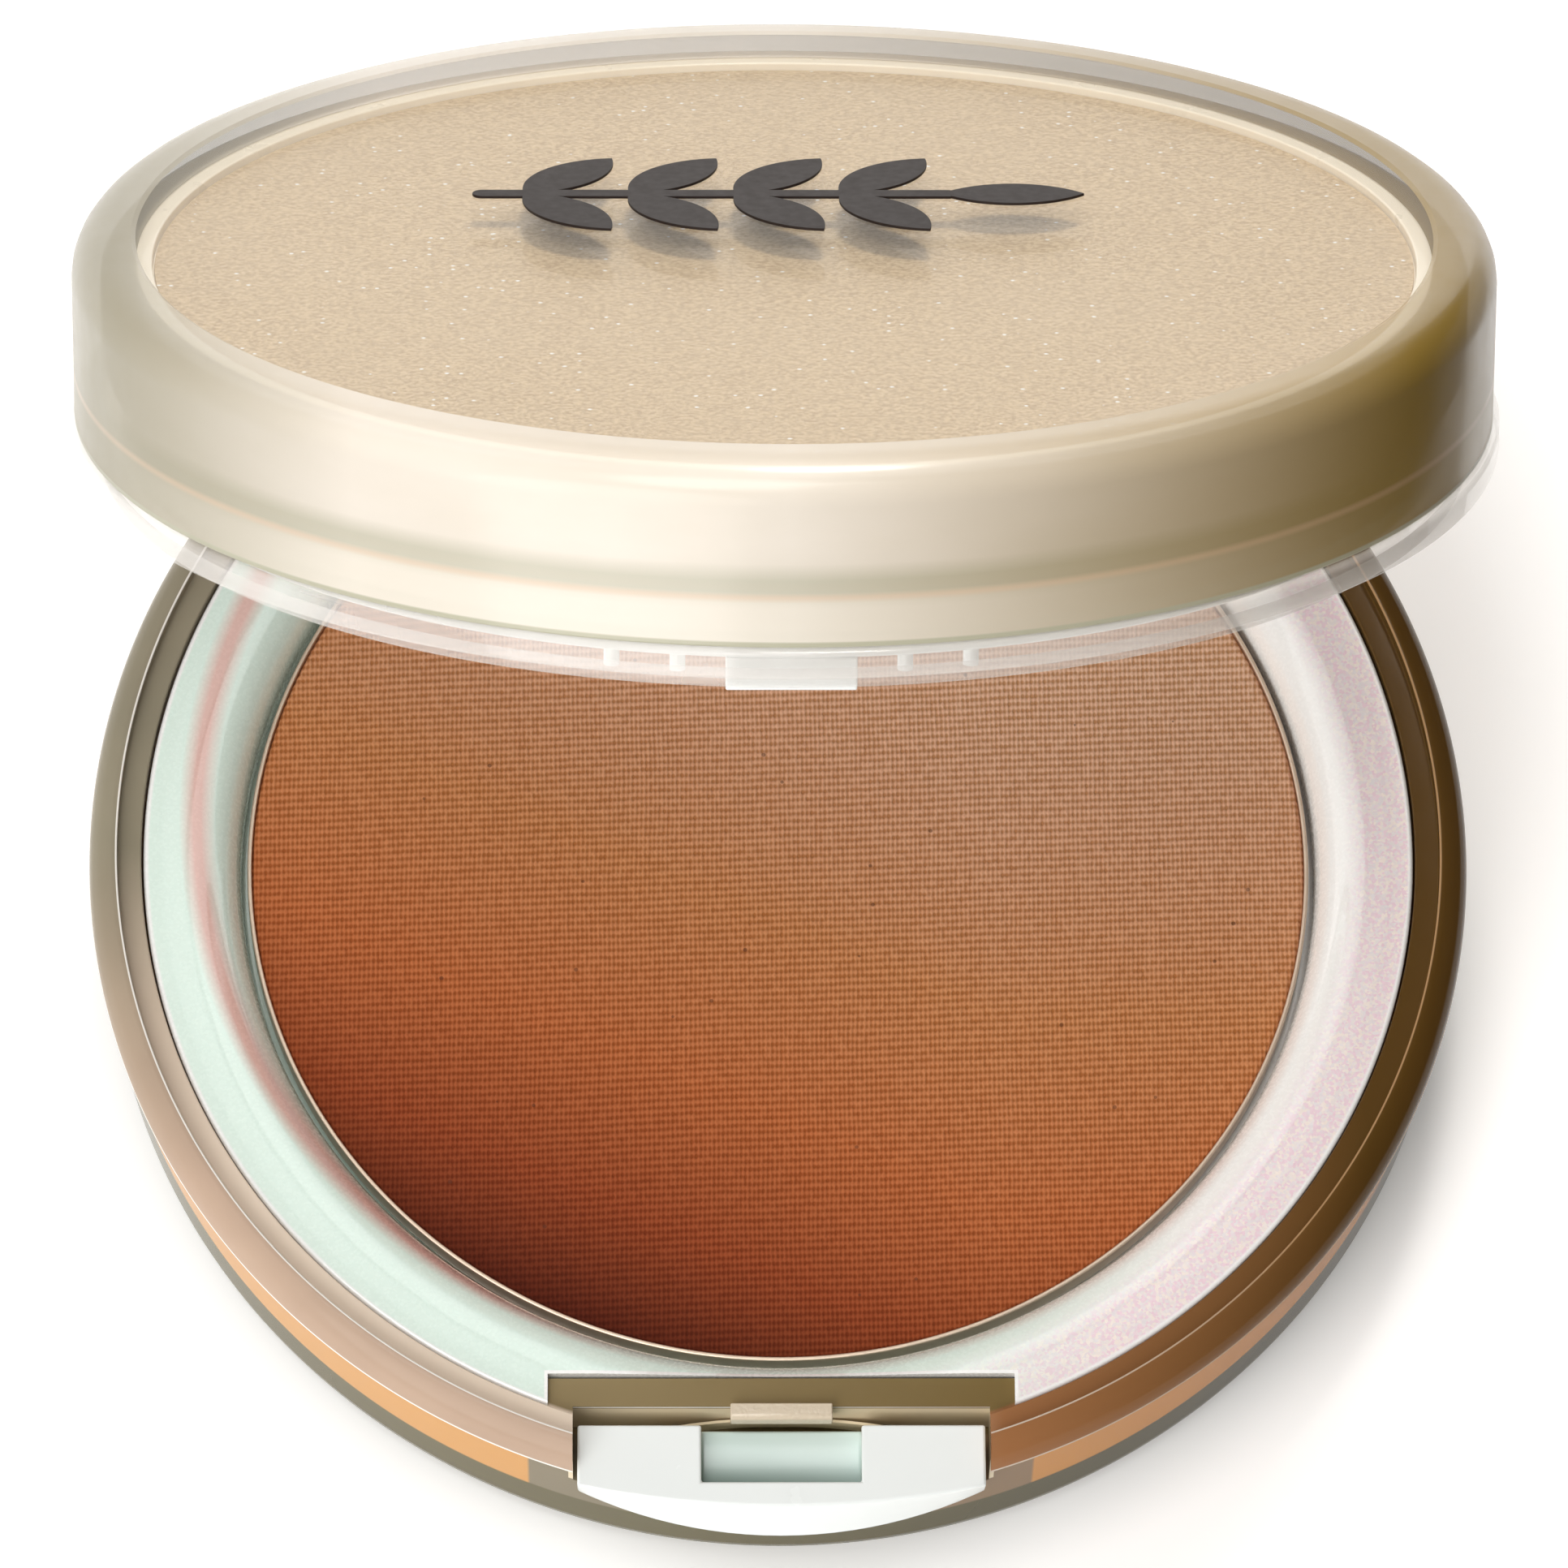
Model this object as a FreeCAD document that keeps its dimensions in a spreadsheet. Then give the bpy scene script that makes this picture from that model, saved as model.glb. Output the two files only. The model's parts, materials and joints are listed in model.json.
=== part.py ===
import FreeCAD, Part
import math
import os
import re
import Sketcher

# Powder compact: a round translucent base with a pressed powder pan, a push button at the front,
# and a lid on a pinned hinge at the back. Millimetres, +Z up, -Y is the front. The origin is the
# centre of the base's underside. The lid is modelled closed about its own centre and then placed
# open about the hinge pin.

SIZES = (
    # base shell
    ("flange_radius", 38.0, "largest radius of the base, at the lower edge of its rounded flange"),
    ("wall_radius", 37.3, "outside of the base wall below the flange"),
    ("cavity_radius", 35.1, "inside of the base wall"),
    ("step_radius", 33.6, "inside of the thick lower wall that carries the inner tray"),
    ("floor_thickness", 1.6, "base floor"),
    ("step_height", 5.8, "top of the thick lower wall"),
    ("flange_underside", 11.05, "lower edge of the flange"),
    ("rim_height", 11.95, "flat rim inside the raised lip"),
    ("lip_height", 12.8, "top of the raised lip"),
    ("lip_inside", 36.4, "inner radius of the raised lip"),
    ("lip_crest", 36.65, "radius where the lip's flat top ends"),
    ("foot_fillet", 2.5, "round at the bottom of the base wall"),
    ("flange_bulge", 1.95, "radius of the flange's rounded upper side"),
    ("overlap", 0.2, "how far an added shape reaches into the wall it joins"),
    ("label_radius", 24.0, "blank label in the underside"),
    ("label_thickness", 0.12, "label, flush in its recess"),
    ("label_play", 0.1, "gap round the label"),
    # latch pocket, all at the front of the base
    ("block_half", 13.0, "half width of the latch block"),
    ("block_back", 31.0, "distance of the latch block's rear face from the axis"),
    ("block_top", 11.3, "top of the latch block"),
    ("block_nose", 1.4, "how far the block runs into the base wall at its middle"),
    ("pocket_half", 11.25, "half width of the button pocket"),
    ("pocket_back", 32.6, "distance of the pocket's rear wall from the axis"),
    ("pocket_floor", 7.9, "floor of the button pocket"),
    ("catch_half", 2.75, "half width of the catch"),
    ("catch_reach", 0.9, "how far the catch reaches over the pocket"),
    ("catch_bevel", 0.2, "slope at the catch's front edges"),
    ("catch_low", 0.7, "underside of the catch, below the block's top"),
    ("catch_high", 0.55, "top of the catch, above the block's top"),
    # trays and powder
    ("tray_radius", 35.0, "outside of the inner tray and of the deck tray"),
    ("tray_wall", 1.0, "inner tray's wall and floor"),
    ("tray_top", 10.55, "top of the inner tray's wall"),
    ("tray_notch", 13.2, "half width of the inner tray's notch round the latch"),
    ("deck_height", 11.7, "flat top of the deck tray"),
    ("deck_thickness", 1.1, "deck tray's top"),
    ("deck_round", 2.7, "radius of the deck tray's rounded inner edge"),
    ("deck_notch", 12.6, "half width of the deck tray's notch"),
    ("deck_notch_back", 30.85, "distance of the deck notch's rear edge from the axis"),
    ("deck_edge", 0.2, "chamfer at the deck tray's outer edge"),
    ("well_wall", 1.2, "wall of the well"),
    ("well_radius", 29.7, "inside of the deck tray's well"),
    ("well_floor", 7.75, "floor of the well"),
    ("well_base", 6.9, "underside of the deck tray"),
    ("pan_radius", 29.35, "outside of the pan, a standard 59 mm pan"),
    ("pan_metal", 0.25, "pan's sheet metal"),
    ("pan_base", 7.9, "underside of the pan"),
    ("pan_top", 9.6, "rim of the pan"),
    ("pan_corner", 0.5, "round between the pan's base and wall"),
    ("adhesive_radius", 20.0, "adhesive disc under the pan"),
    ("powder_top", 9.4, "top of the pressed powder"),
    ("powder_edge", 0.25, "chamfer at the powder's edge"),
    # hinge
    ("hinge_back", 39.5, "distance of the hinge axis behind the centre"),
    ("hinge_height", 13.1, "height of the hinge axis, which is the lid's parting plane"),
    ("pin_radius", 0.8, "steel hinge pin"),
    ("pin_play", 0.05, "running clearance of the lid's knuckle on the pin"),
    ("knuckle_radius", 2.2, "outside of the hinge knuckles"),
    ("knuckle_room", 2.5, "radius cleared round the knuckles of the other half"),
    ("knuckle_play", 0.15, "gap between the ends of the knuckles"),
    ("pin_end", 0.2, "how far the pin stands out of each base knuckle"),
    ("lid_knuckle_half", 6.0, "half width of the lid's knuckle"),
    ("base_knuckle_start", 6.3, "inner end of each base knuckle"),
    ("base_knuckle_end", 11.0, "outer end of each base knuckle"),
    ("knuckle_arm_root", 35.6, "distance where the arms of the base knuckles start"),
    ("lid_open", 44.9, "opening angle of the lid as placed, in degrees"),
    # push button
    ("button_half", 11.0, "half width of the push button"),
    ("button_back", 33.5, "distance of the button's rear edge from the axis"),
    ("button_base", 8.2, "underside of the button"),
    ("button_top", 10.9, "top of the button"),
    ("button_corner_low", 36.3, "front corners at the underside"),
    ("button_nose_low", 38.95, "front centre at the underside"),
    ("button_corner_top", 37.0, "front corners at the top"),
    ("button_nose_top", 38.15, "front centre at the top"),
    ("window_half", 4.32, "half width of the window that takes the lid's tab"),
    ("window_front", 36.75, "distance of the window's front edge from the axis"),
    ("window_rear", 9.95, "height of the window's floor at the button's rear edge"),
    ("window_low", 9.2, "height of the window's floor at its front edge"),
    ("spring_leaf", 0.15, "thickness of the leaf spring"),
    ("spring_half", 7.0, "half length of the leaf spring"),
    ("spring_width", 1.0, "width of the leaf spring"),
    ("spring_rise", 0.4, "height of the leaf spring above the button's underside"),
    ("spring_play", 0.02, "gap between the leaf spring and what it presses on"),
    # lid, in its own closed frame: zero height is the parting plane
    ("lid_radius", 37.5, "outside of the lid shell"),
    ("lid_height", 11.4, "top of the lid shell"),
    ("lid_wall", 1.5, "lid shell's wall"),
    ("lid_top_wall", 1.45, "lid shell's top"),
    ("lid_round", 2.2, "round between the lid's side and top"),
    ("lid_inner_round", 0.8, "round inside the lid shell's top edge"),
    ("shell_bottom", 1.75, "lower edge of the lid shell"),
    ("window_radius", 34.1, "clear window in the lid's top"),
    ("window_step", 0.15, "depth of the window below the lid's raised edge"),
    ("window_slope", 0.25, "width of the slope from the raised edge down to the window"),
    ("frame_radius", 37.9, "outside of the lid's clear rim"),
    ("frame_low", 0.2, "underside of the clear rim"),
    ("frame_high", 1.7, "top of the clear rim"),
    ("spigot_radius", 36.15, "outside of the spigot that centres the lid in the base's lip"),
    ("spigot_depth", 0.9, "how far the spigot reaches below the parting plane"),
    ("frame_inside", 35.2, "inside of the clear rim and spigot"),
    ("frame_neck", 35.9, "outside of the clear rim's neck inside the shell"),
    ("frame_top", 4.2, "top of the clear rim's neck"),
    ("liner_radius", 35.8, "outside of the lid liner"),
    ("liner_wall", 0.9, "lid liner's wall"),
    ("liner_bottom", 4.5, "lower edge of the lid liner"),
    ("liner_plate", 8.5, "underside of the lid liner's plate"),
    ("disc_height", 9.3, "top of the liner's plate, where the disc lies"),
    ("liner_top", 9.9, "top of the liner's raised edge"),
    ("liner_round", 0.7, "round at the liner's top edge"),
    ("disc_play", 0.1, "gap round the decor disc"),
    ("disc_radius", 33.15, "decor disc"),
    ("disc_thickness", 0.2, "decor disc"),
    ("bezel_radius", 35.1, "outside of the mirror frame"),
    ("bezel_low", 0.3, "underside of the mirror frame"),
    ("bezel_plate", 2.3, "underside of the plate that backs the mirror"),
    ("bezel_wall", 1.1, "mirror frame's outer wall"),
    ("bezel_top", 4.3, "top of the mirror frame's outer wall"),
    ("bezel_back", 3.3, "top of the plate that backs the mirror"),
    ("mirror_play", 0.2, "gap round the mirror"),
    ("mirror_radius", 32.4, "mirror glass"),
    ("mirror_thickness", 1.35, "mirror glass"),
    ("tape_thickness", 0.15, "adhesive tape behind the mirror"),
    ("tape_margin", 1.5, "how far the tape stays inside the mirror's edge"),
    ("tab_half", 3.3, "half width of the latch tab"),
    ("tab_front", 35.0, "distance of the tab's front face from the axis"),
    ("tab_back", 33.85, "distance of the tab's rear face from the axis"),
    ("tab_depth", 1.55, "how far the tab reaches below the parting plane"),
    ("tab_slope", 0.3, "width of the slope at the tab's front edge"),
    ("tab_slope_rise", 0.4, "height of that slope"),
    # emblem on the window
    ("sprig_half", 16.0, "half length of the sprig's stem"),
    ("sprig_offset", 5.5, "how far the sprig lies behind the lid's centre"),
    ("stem_half", 0.55, "half width of the stem"),
    ("leaf_length", 7.6, "length of a leaf"),
    ("leaf_round", 5.2, "radius of a leaf's two edges"),
    ("leaf_angle", 52.0, "angle between a leaf and the stem, in degrees"),
    ("leaf_pitch", 5.6, "spacing of the leaves along the stem"),
    ("leaf_first", 2.2, "distance of the first leaves from the end of the stem"),
    ("leaf_join", 0.5, "how far the stem reaches into the leaf at its tip"),
    ("beyond", 2.0, "how far a cut runs past what it cuts"),
)

LEAF_PAIRS = 4
PIPS = (-9.0, -5.7, 5.7, 9.0)   # where the lid's four rest pips stand, along X
PIP_DISTANCE = 34.6             # their distance from the lid's axis
PIP_RADIUS = 0.4
PIP_DEPTH = 0.6                 # how far they reach below the parting plane

doc = FreeCAD.newDocument("powder_compact")
sheet = doc.addObject("Spreadsheet::Sheet", "Sizes")
for row, (alias, value, meaning) in enumerate(SIZES, start=1):
    sheet.set("A%d" % row, meaning)
    sheet.set("B%d" % row, str(value))
    sheet.setAlias("B%d" % row, alias)
doc.recompute()

ALIASES = re.compile(r"\b(%s)\b" % "|".join(alias for alias, value, meaning in SIZES))
pieces = []


def bound(formula):
    """A formula over plain cell names, as an expression that FreeCAD can read."""
    return ALIASES.sub(r"Sizes.\1", str(formula))


def amount(formula):
    """The present value of a formula."""
    result = sheet.evalExpression(bound(formula))
    return float(getattr(result, "Value", result))


def bind(thing, **formulas):
    """Bind properties to the sheet; two underscores in a name stand for a dot."""
    for name, formula in formulas.items():
        thing.setExpression(name.replace("__", "."), bound(formula))


def origin_part(body, role):
    for part in body.Origin.OriginFeatures:
        if part.Role == role:
            return part
    raise ValueError(role)


def arc_between(start, end, radius):
    """The shorter arc from start to end; a positive radius turns it anticlockwise."""
    chord = end - start
    middle = (start + end) * 0.5
    reach = math.sqrt(max(radius ** 2 - (chord.Length / 2) ** 2, 0.0))
    left = FreeCAD.Vector(-chord.y, chord.x, 0).normalize()
    centre = middle + left * math.copysign(reach, radius)
    angles = [math.atan2(point.y - centre.y, point.x - centre.x) for point in (start, end)]
    circle = Part.Circle(centre, FreeCAD.Vector(0, 0, 1), abs(radius))
    if radius > 0:
        return Part.ArcOfCircle(circle, angles[0], angles[1])
    return Part.ArcOfCircle(circle, angles[1], angles[0])


def place_vertex(sketch, geometry, point, axis, formula):
    """Fix one coordinate of a vertex to a formula."""
    value = amount(formula)
    if value == 0:
        other_axis = -2 if axis == "X" else -1
        sketch.addConstraint(Sketcher.Constraint("PointOnObject", geometry, point, other_axis))
        return
    if value > 0:
        index = sketch.addConstraint(
            Sketcher.Constraint("Distance" + axis, -1, 1, geometry, point, value))
        sketch.setExpression("Constraints[%d]" % index, bound(formula))
    else:
        index = sketch.addConstraint(
            Sketcher.Constraint("Distance" + axis, geometry, point, -1, 1, -value))
        sketch.setExpression("Constraints[%d]" % index, bound("-(%s)" % formula))


def sketch_on(body, role, name, height):
    """An empty sketch in a plane of the body, moved along the plane's normal."""
    sketch = body.newObject("Sketcher::SketchObject", name)
    sketch.AttachmentSupport = [(origin_part(body, role), "")]
    sketch.MapMode = "FlatFace"
    if height != "0":
        bind(sketch, AttachmentOffset__Base__z=height)
    return sketch


def outline(body, role, corners, height="0"):
    """A closed outline in a plane of the body. Each corner is (x, y) or (x, y, radius), where the
    radius makes an arc of the edge that leaves the corner."""
    sketch = sketch_on(body, role, "outline", height)
    points = [FreeCAD.Vector(amount(corner[0]), amount(corner[1]), 0) for corner in corners]
    starts = []
    for index, corner in enumerate(corners):
        start = points[index]
        end = points[(index + 1) % len(points)]
        if len(corner) == 2:
            sketch.addGeometry(Part.LineSegment(start, end), False)
            starts.append((1, 2))
            continue
        radius = amount(corner[2])
        sketch.addGeometry(arc_between(start, end, radius), False)
        starts.append((1, 2) if radius > 0 else (2, 1))
    for index, corner in enumerate(corners):
        following = (index + 1) % len(corners)
        sketch.addConstraint(Sketcher.Constraint(
            "Coincident", index, starts[index][1], following, starts[following][0]))
        place_vertex(sketch, index, starts[index][0], "X", corner[0])
        place_vertex(sketch, index, starts[index][0], "Y", corner[1])
        if len(corner) == 3:
            sign = "" if amount(corner[2]) > 0 else "-"
            constraint = sketch.addConstraint(
                Sketcher.Constraint("Radius", index, abs(amount(corner[2]))))
            sketch.setExpression("Constraints[%d]" % constraint, bound("%s(%s)" % (sign, corner[2])))
    return sketch


def circle(body, role, x, y, radius, height="0"):
    """A circle in a plane of the body."""
    sketch = sketch_on(body, role, "circle", height)
    centre = FreeCAD.Vector(amount(x), amount(y), 0)
    sketch.addGeometry(Part.Circle(centre, FreeCAD.Vector(0, 0, 1), amount(radius)), False)
    place_vertex(sketch, 0, 3, "X", x)
    place_vertex(sketch, 0, 3, "Y", y)
    constraint = sketch.addConstraint(Sketcher.Constraint("Radius", 0, amount(radius)))
    sketch.setExpression("Constraints[%d]" % constraint, bound(radius))
    return sketch


def new_body(label):
    body = doc.addObject("PartDesign::Body", label)
    body.Label = label
    pieces.append(body)
    return body


def turned(label, corners):
    """A body of revolution about Z from an outline in X (radius) and Z."""
    body = new_body(label)
    feature = body.newObject("PartDesign::Revolution", "turned")
    feature.Profile = outline(body, "XZ_Plane", corners)
    feature.ReferenceAxis = (origin_part(body, "Z_Axis"), [""])
    feature.Angle = 360
    doc.recompute()
    return body


def surface_of(body):
    """What a feature that does something must change."""
    return 0.0 if body.Shape.isNull() else round(body.Shape.Area, 3)


def raised(body, kind, sketch, length, backwards=False):
    """Add or cut the sketch along its own normal, and make sure that it changed the body."""
    before = surface_of(body)
    feature = body.newObject("PartDesign::" + kind, kind.lower())
    feature.Profile = sketch
    feature.Reversed = backwards
    bind(feature, Length=length)
    doc.recompute()
    if surface_of(body) == before:
        raise ValueError("a %s of %s changed nothing" % (kind.lower(), body.Label))


def pad(body, sketch, length):
    """Add the sketch, raised along its own normal."""
    raised(body, "Pad", sketch, length)


def pocket(body, sketch, length):
    """Cut the sketch away along its own normal."""
    raised(body, "Pocket", sketch, length, backwards=True)


def box_outline(x_low, x_high, y_low, y_high):
    return ((x_low, y_low), (x_high, y_low), (x_high, y_high), (x_low, y_high))


def disc(label, radius, low, thickness):
    """A plain round plate."""
    plate = doc.addObject("Part::Cylinder", label)
    plate.Label = label
    bind(plate, Radius=radius, Height=thickness, Placement__Base__z=low)
    pieces.append(plate)
    return plate


def amount_of(piece, formula):
    """The present value of a formula that is already bound to a piece."""
    result = piece.evalExpression(formula)
    return float(getattr(result, "Value", result))


def open_with_lid(piece):
    """Turn a piece of the closed lid about the hinge pin, by the lid's opening angle."""
    turn = FreeCAD.Rotation(FreeCAD.Vector(-1, 0, 0), amount("lid_open"))
    pin = FreeCAD.Vector(0, amount("hinge_back"), amount("hinge_height"))
    rise = FreeCAD.Placement(FreeCAD.Vector(0, 0, amount("hinge_height")), FreeCAD.Rotation())
    about_pin = FreeCAD.Placement(pin - turn.multVec(pin), turn)
    local = piece.Placement
    for name, formula in piece.ExpressionEngine:
        if name.startswith(("Placement", ".Placement")):
            offset = FreeCAD.Vector(0, 0, amount_of(piece, formula))
            local = FreeCAD.Placement(offset, FreeCAD.Rotation())
            piece.setExpression(name, None)
    piece.Placement = about_pin.multiply(rise).multiply(local)


def make_base_shell():
    body = turned("base_shell", (
        ("0", "label_thickness"),
        ("label_radius + label_play", "label_thickness"),
        ("label_radius + label_play", "0"),
        ("wall_radius - foot_fillet", "0", "foot_fillet"),
        ("wall_radius", "foot_fillet"),
        ("wall_radius", "flange_underside"),
        ("flange_radius", "flange_underside", "flange_bulge"),
        ("lip_crest", "lip_height"),
        ("lip_inside", "lip_height"),
        ("lip_inside", "rim_height"),
        ("cavity_radius", "rim_height"),
        ("cavity_radius", "step_height"),
        ("step_radius", "step_height"),
        ("step_radius", "floor_thickness"),
        ("0", "floor_thickness"),
    ))
    block = outline(body, "XY_Plane", (
        ("-block_half", "-block_back"),
        ("-block_half", "-step_radius"),
        ("0", "-step_radius - block_nose"),
        ("block_half", "-step_radius"),
        ("block_half", "-block_back"),
    ), "floor_thickness - overlap")
    pad(body, block, "block_top - floor_thickness + overlap")
    slot = outline(body, "XY_Plane", box_outline(
        "-pocket_half", "pocket_half", "-flange_radius - beyond", "-pocket_back"), "pocket_floor")
    pocket(body, slot, "lip_height")
    width = "base_knuckle_end - base_knuckle_start"
    for side in ("-base_knuckle_end", "base_knuckle_start"):
        arm = outline(body, "YZ_Plane", box_outline(
            "knuckle_arm_root", "hinge_back", "hinge_height - knuckle_radius",
            "rim_height - overlap / 4"), side)
        pad(body, arm, width)
        pad(body, circle(body, "YZ_Plane", "hinge_back", "hinge_height", "knuckle_radius", side), width)
    pocket(body, circle(body, "YZ_Plane", "hinge_back", "hinge_height", "knuckle_room",
                        "-lid_knuckle_half - knuckle_play"), "2 * (lid_knuckle_half + knuckle_play)")
    pocket(body, circle(body, "YZ_Plane", "hinge_back", "hinge_height", "pin_radius",
                        "-base_knuckle_end - beyond"), "2 * (base_knuckle_end + beyond)")


def make_catch():
    body = new_body("catch_insert")
    nose = outline(body, "YZ_Plane", (
        ("-pocket_back", "block_top - catch_low"),
        ("-pocket_back - catch_reach + catch_bevel", "block_top - catch_low"),
        ("-pocket_back - catch_reach", "block_top - catch_low + 2 * catch_bevel"),
        ("-pocket_back - catch_reach", "block_top + catch_high - catch_bevel"),
        ("-pocket_back - catch_reach + catch_bevel", "block_top + catch_high"),
        ("-pocket_back", "block_top + catch_high"),
    ), "-catch_half")
    pad(body, nose, "2 * catch_half")


def make_trays():
    tray = turned("inner_tray", (
        ("0", "step_height"),
        ("tray_radius", "step_height"),
        ("tray_radius", "tray_top"),
        ("tray_radius - tray_wall", "tray_top"),
        ("tray_radius - tray_wall", "step_height + tray_wall"),
        ("0", "step_height + tray_wall"),
    ))
    pocket(tray, outline(tray, "XY_Plane", box_outline(
        "-tray_notch", "tray_notch", "-flange_radius", "-block_back + label_play")), "lip_height")
    deck = turned("deck_tray", (
        ("0", "well_base"),
        ("well_radius + well_wall", "well_base"),
        ("well_radius + well_wall", "deck_height - deck_thickness"),
        ("tray_radius", "deck_height - deck_thickness"),
        ("tray_radius", "deck_height - deck_edge"),
        ("tray_radius - deck_edge", "deck_height"),
        ("well_radius + deck_round", "deck_height", "deck_round"),
        ("well_radius", "deck_height - deck_round"),
        ("well_radius", "well_floor"),
        ("0", "well_floor"),
    ))
    pocket(deck, outline(deck, "XY_Plane", box_outline(
        "-deck_notch", "deck_notch", "-flange_radius", "-deck_notch_back")), "lip_height")


def make_powder():
    disc("pan_adhesive", "adhesive_radius", "well_floor", "pan_base - well_floor")
    turned("pan", (
        ("0", "pan_base"),
        ("pan_radius - pan_corner", "pan_base", "pan_corner"),
        ("pan_radius", "pan_base + pan_corner"),
        ("pan_radius", "pan_top"),
        ("pan_radius - pan_metal", "pan_top"),
        ("pan_radius - pan_metal", "pan_base + pan_metal"),
        ("0", "pan_base + pan_metal"),
    ))
    turned("powder_cake", (
        ("0", "pan_base + pan_metal"),
        ("pan_radius - pan_metal", "pan_base + pan_metal"),
        ("pan_radius - pan_metal", "powder_top - powder_edge"),
        ("pan_radius - pan_metal - powder_edge", "powder_top"),
        ("0", "powder_top"),
    ))


def make_button():
    body = new_body("push_button")
    sections = []
    for corner, nose, height in (("button_corner_low", "button_nose_low", "button_base"),
                                 ("button_corner_top", "button_nose_top", "button_top")):
        sagitta = "(%s - %s)" % (nose, corner)
        sections.append(outline(body, "XY_Plane", (
            ("-button_half", "-button_back"),
            ("-button_half", "-%s" % corner, "(button_half^2 + %s^2) / (2 * %s)" % (sagitta, sagitta)),
            ("button_half", "-%s" % corner),
            ("button_half", "-button_back"),
        ), height))
    loft = body.newObject("PartDesign::AdditiveLoft", "nose")
    loft.Profile = sections[0]
    loft.Sections = [sections[1]]
    doc.recompute()
    drop = "(window_rear - window_low)"
    run = "(window_front - button_back)"
    window = outline(body, "YZ_Plane", (
        ("-button_back + beyond", "window_rear"),
        ("-button_back", "window_rear", "(%s^2 + %s^2) / (2 * %s)" % (run, drop, drop)),
        ("-window_front", "window_low"),
        ("-window_front", "button_top + beyond"),
        ("-button_back + beyond", "button_top + beyond"),
    ), "-window_half")
    pocket(body, window, "2 * window_half")


def make_button_spring():
    """A bowed leaf between the button's rear face and the pocket's rear wall."""
    body = new_body("button_spring")
    rear = "-button_back + spring_play"
    bow = "(button_back - pocket_back - 2 * spring_play - spring_leaf)"
    bow_radius = "((spring_half^2 + %s^2) / (2 * %s))" % (bow, bow)
    leaf = outline(body, "XY_Plane", (
        ("-spring_half", rear),
        ("-spring_half", "%s + spring_leaf" % rear, "-(%s + spring_play / 2)" % bow_radius),
        ("spring_half", "%s + spring_leaf" % rear),
        ("spring_half", rear, bow_radius),
    ), "button_base + spring_rise")
    pad(body, leaf, "spring_width")


def make_hinge_pin():
    pin = doc.addObject("Part::Cylinder", "hinge_pin")
    pin.Label = "hinge_pin"
    pin.Placement = FreeCAD.Placement(FreeCAD.Vector(), FreeCAD.Rotation(FreeCAD.Vector(0, 1, 0), 90))
    bind(pin, Radius="pin_radius", Height="2 * (base_knuckle_end + pin_end)",
         Placement__Base__x="-base_knuckle_end - pin_end", Placement__Base__y="hinge_back",
         Placement__Base__z="hinge_height")
    pieces.append(pin)


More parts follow.
